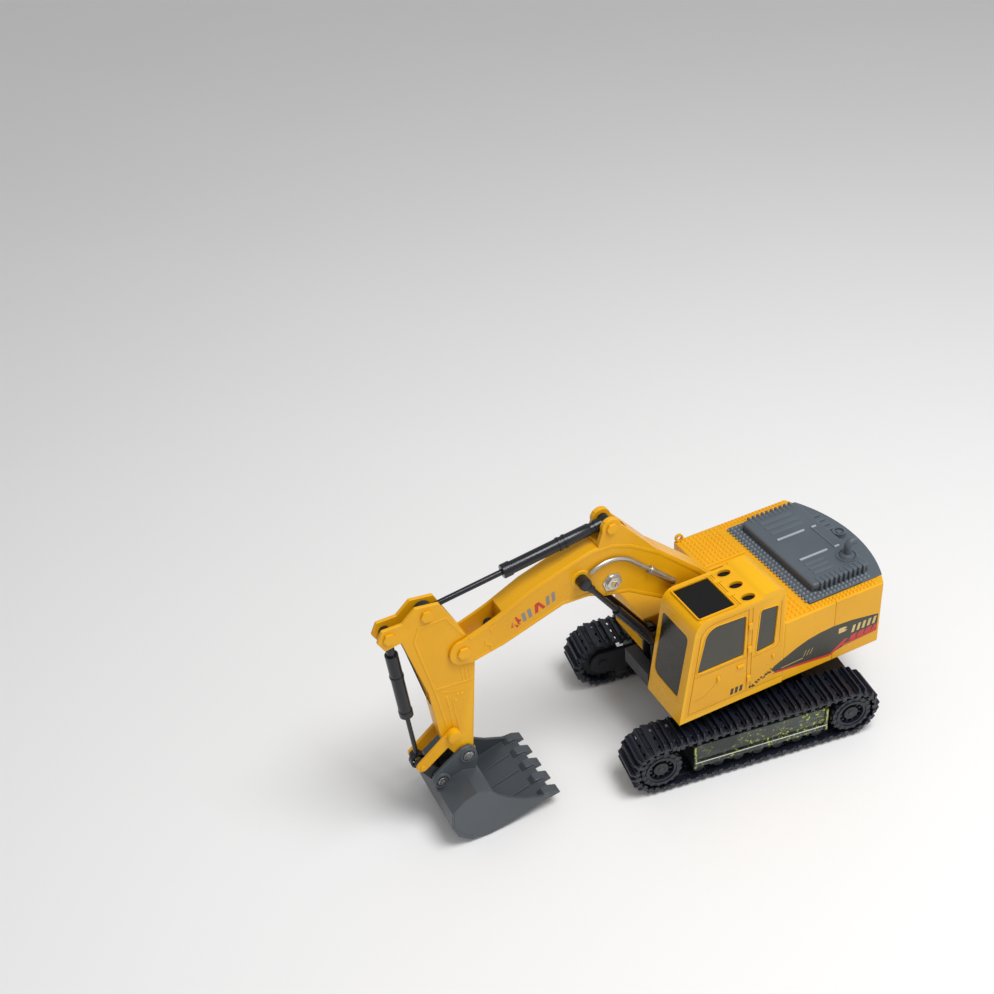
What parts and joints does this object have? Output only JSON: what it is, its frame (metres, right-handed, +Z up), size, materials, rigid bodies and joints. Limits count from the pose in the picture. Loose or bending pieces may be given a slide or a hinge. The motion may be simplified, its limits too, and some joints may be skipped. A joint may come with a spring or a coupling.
{
  "type": "toy excavator",
  "caption": "Tracked toy excavator with a turning house, a cab, and a jointed boom, arm and digging bucket moved by dummy hydraulic cylinders.",
  "frame": {"origin": "centre of the footprint, on the surface that the tracks stand on", "axes": "+X forwards along the tracks, +Y to the cab side, +Z up"},
  "size_m": [0.2997, 0.1185, 0.1721],
  "materials": {
    "yellow_plastic": "satin moulded",
    "slate_plastic": "satin moulded",
    "tinted_window": "smooth dark print",
    "smoked_plastic": "smoked and splattered",
    "track_rubber": "soft moulded",
    "bright_metal": "bright",
    "gloss_black_plastic": "gloss moulded",
    "matt_black_plastic": "satin moulded",
    "electronics": "plain"
  },
  "bodies": {
    "undercarriage": {"chassis_tub": "matt_black_plastic", "belly_plate": "matt_black_plastic", "battery_pack": "electronics", "chassis_screws": "bright_metal", "drive_gearbox_left": "matt_black_plastic", "drive_gearbox_right": "matt_black_plastic", "drive_motor_left": "bright_metal", "drive_motor_right": "bright_metal", "track_frame_left": "matt_black_plastic", "track_frame_right": "matt_black_plastic", "track_cover_left": "smoked_plastic", "track_cover_right": "smoked_plastic", "track_belt_left": "track_rubber", "track_belt_right": "track_rubber"},
    "drive_wheel_left_body": {"drive_wheel_left": "matt_black_plastic"},
    "drive_wheel_right_body": {"drive_wheel_right": "matt_black_plastic"},
    "idler_wheel_left_body": {"idler_wheel_left": "matt_black_plastic"},
    "idler_wheel_right_body": {"idler_wheel_right": "matt_black_plastic"},
    "house": {"slew_ring": "matt_black_plastic", "house_pan": "matt_black_plastic", "house_shell": "yellow_plastic", "engine_cover": "slate_plastic", "exhaust_stack": "slate_plastic", "filler_knob": "slate_plastic", "cab_shell": "yellow_plastic", "windscreen": "tinted_window", "roof_window": "tinted_window", "door_window": "tinted_window", "rear_side_window": "tinted_window", "right_window": "tinted_window", "roof_vents": "gloss_black_plastic", "receiver_board": "electronics", "slew_motor": "bright_metal", "house_screws": "bright_metal", "boom_foot_pin": "bright_metal"},
    "boom": {"boom_left_half": "yellow_plastic", "boom_right_half": "yellow_plastic", "boom_pipe_left": "bright_metal", "boom_pipe_right": "bright_metal", "boom_bolt": "bright_metal", "boom_pins": "yellow_plastic"},
    "lift_rods": {"lift_rod_left": "gloss_black_plastic", "lift_rod_right": "gloss_black_plastic"},
    "lift_barrels": {"lift_barrel_left": "gloss_black_plastic", "lift_barrel_right": "gloss_black_plastic"},
    "arm_cylinder": {"arm_cylinder_barrel": "gloss_black_plastic"},
    "arm_piston": {"arm_cylinder_rod": "gloss_black_plastic"},
    "arm": {"arm_left_half": "yellow_plastic", "arm_right_half": "yellow_plastic", "arm_pins": "yellow_plastic"},
    "bucket_cylinder": {"bucket_cylinder_barrel": "gloss_black_plastic"},
    "bucket_piston": {"bucket_cylinder_rod": "gloss_black_plastic"},
    "rocker": {"rocker_links": "yellow_plastic"},
    "link": {"bucket_link": "gloss_black_plastic"},
    "bucket_body": {"bucket": "slate_plastic", "bucket_screws": "bright_metal"}
  },
  "joints": [
    {"name": "slew", "type": "hinge", "parent": "undercarriage", "child": "house", "pos_m": [-0.055, 0, 0.04], "axis": [0, 0, 1], "continuous": true},
    {"name": "boom_lift", "type": "hinge", "parent": "house", "child": "boom", "pos_m": [-0.05302, 0.0003, 0.086], "axis": [0.1495, -0.9888, 0], "range_deg": [-18, 20]},
    {"name": "lift_rod_swing", "type": "hinge", "parent": "boom", "child": "lift_rods", "pos_m": [0.03547, 0.01368, 0.1405], "axis": [0.1495, -0.9888, 0], "range_deg": [-1.51, 1.62]},
    {"name": "lift_slide", "type": "slide", "parent": "lift_rods", "child": "lift_barrels", "axis": [-0.56, -0.0847, -0.8241], "range_m": [-0.01364, 0.01513]},
    {"name": "arm_swing", "type": "hinge", "parent": "boom", "child": "arm", "pos_m": [0.10518, 0.02423, 0.121], "axis": [0.1495, -0.9888, 0], "range_deg": [-30, 20]},
    {"name": "arm_cylinder_swing", "type": "hinge", "parent": "boom", "child": "arm_cylinder", "pos_m": [0.0157, 0.01069, 0.1665], "axis": [0.1495, -0.9888, 0], "range_deg": [-4.59, 3.22]},
    {"name": "arm_cylinder_slide", "type": "slide", "parent": "arm_cylinder", "child": "arm_piston", "axis": [0.9804, 0.1483, -0.1297], "range_m": [-0.01131, 0.01681]},
    {"name": "bucket_curl", "type": "hinge", "parent": "arm", "child": "bucket_body", "pos_m": [0.11111, 0.02512, 0.0473], "axis": [0.1495, -0.9888, 0], "range_deg": [-40, 22]},
    {"name": "rocker_swing", "type": "hinge", "parent": "arm", "child": "rocker", "pos_m": [0.11734, 0.02606, 0.0661], "axis": [0.1495, -0.9888, 0], "range_deg": [-32.63, 18.17]},
    {"name": "link_swing", "type": "hinge", "parent": "rocker", "child": "link", "pos_m": [0.13741, 0.0291, 0.0511], "axis": [0.1495, -0.9888, 0], "range_deg": [-18.58, 33.37]},
    {"name": "bucket_cylinder_swing", "type": "hinge", "parent": "arm", "child": "bucket_cylinder", "pos_m": [0.14255, 0.02988, 0.1468], "axis": [0.1495, -0.9888, 0], "range_deg": [-5.68, 3.35]},
    {"name": "bucket_cylinder_slide", "type": "slide", "parent": "bucket_cylinder", "child": "bucket_piston", "axis": [-0.0536, -0.0081, -0.9985], "range_m": [-0.00621, 0.01104]},
    {"name": "drive_left", "type": "hinge", "parent": "undercarriage", "child": "drive_wheel_left_body", "pos_m": [-0.11495, 0, 0.0187], "axis": [0, 1, 0], "continuous": true},
    {"name": "idler_left", "type": "hinge", "parent": "undercarriage", "child": "idler_wheel_left_body", "pos_m": [0.00495, 0, 0.0187], "axis": [0, 1, 0], "continuous": true},
    {"name": "drive_right", "type": "hinge", "parent": "undercarriage", "child": "drive_wheel_right_body", "pos_m": [-0.11495, 0, 0.0187], "axis": [0, 1, 0], "continuous": true},
    {"name": "idler_right", "type": "hinge", "parent": "undercarriage", "child": "idler_wheel_right_body", "pos_m": [0.00495, 0, 0.0187], "axis": [0, 1, 0], "continuous": true}
  ],
  "couplings": [
    {"joint": "lift_rod_swing", "follows": "boom_lift", "ratio": 0.05602},
    {"joint": "lift_slide", "follows": "boom_lift", "m_per_rad": 0.042473},
    {"joint": "arm_cylinder_swing", "follows": "arm_swing", "ratio": 0.13618},
    {"joint": "arm_cylinder_slide", "follows": "arm_swing", "m_per_rad": -0.031536},
    {"joint": "rocker_swing", "follows": "bucket_curl", "ratio": 0.80326},
    {"joint": "link_swing", "follows": "bucket_curl", "ratio": -0.82186},
    {"joint": "bucket_cylinder_swing", "follows": "bucket_curl", "ratio": 0.12958},
    {"joint": "bucket_cylinder_slide", "follows": "bucket_curl", "m_per_rad": -0.015388},
    {"joint": "idler_left", "follows": "drive_left", "ratio": 1},
    {"joint": "idler_right", "follows": "drive_right", "ratio": 1}
  ]
}
